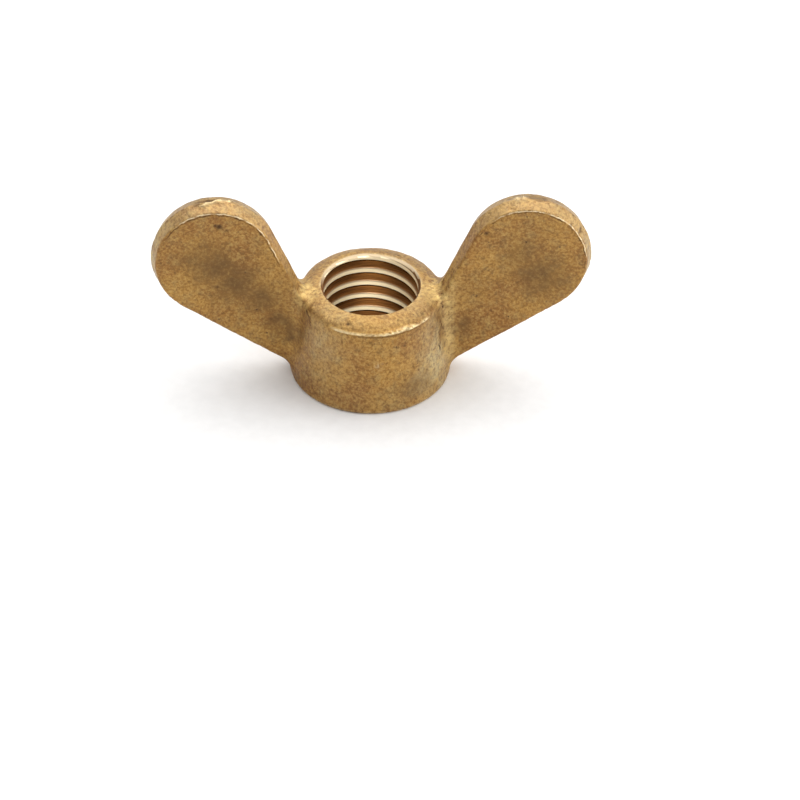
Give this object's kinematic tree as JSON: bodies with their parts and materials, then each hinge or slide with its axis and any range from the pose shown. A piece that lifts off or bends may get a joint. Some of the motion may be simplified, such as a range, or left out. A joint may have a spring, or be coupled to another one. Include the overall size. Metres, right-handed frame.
{
  "type": "wing nut",
  "caption": "Cast brass wing nut: a tapered round hub with a threaded through bore and two rounded upswept finger wings.",
  "frame": {"origin": "centre of the flat seating face, on the thread's axis", "axes": "+Z along the thread's axis, from the seating face towards the wing tips; wings along +X and -X"},
  "size_m": [0.0482, 0.0176, 0.023],
  "materials": {
    "cast_brass": "rough as-cast skin with a cut thread"
  },
  "bodies": {
    "root": {"wing_nut_body": "cast_brass"}
  },
  "joints": []
}
